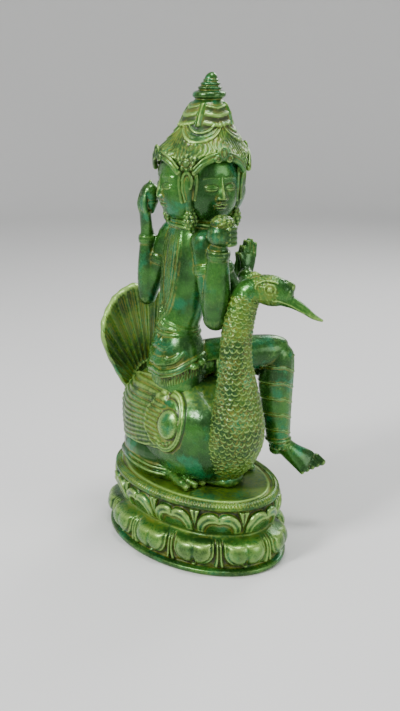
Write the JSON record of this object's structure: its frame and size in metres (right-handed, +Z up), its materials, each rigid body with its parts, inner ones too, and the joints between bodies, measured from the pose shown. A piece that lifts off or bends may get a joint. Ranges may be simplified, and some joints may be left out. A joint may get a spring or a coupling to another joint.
{
  "type": "statue",
  "caption": "Cast bronze table statue of a four-faced, four-armed deity seated side-saddle on a goose, on an oval two-tier lotus plinth.",
  "frame": {"origin": "centre of the oval plinth's underside, the face that stands on a table", "axes": "+Z up; -X the way the goose heads, along the plinth's long axis; -Y the way the deity faces, over the goose's left flank"},
  "size_m": [0.1766, 0.1422, 0.3431],
  "materials": {
    "figure_bronze": "cast bronze, glossy lacquered green patina, ochre on the raised parts, dark brown in the grooves",
    "plinth_bronze": "cast bronze, glossy lacquered green patina, ochre on the raised parts, dark brown in the grooves"
  },
  "bodies": {
    "root": {"lotus_plinth": "plinth_bronze", "brahma_on_goose": "figure_bronze"}
  },
  "joints": []
}
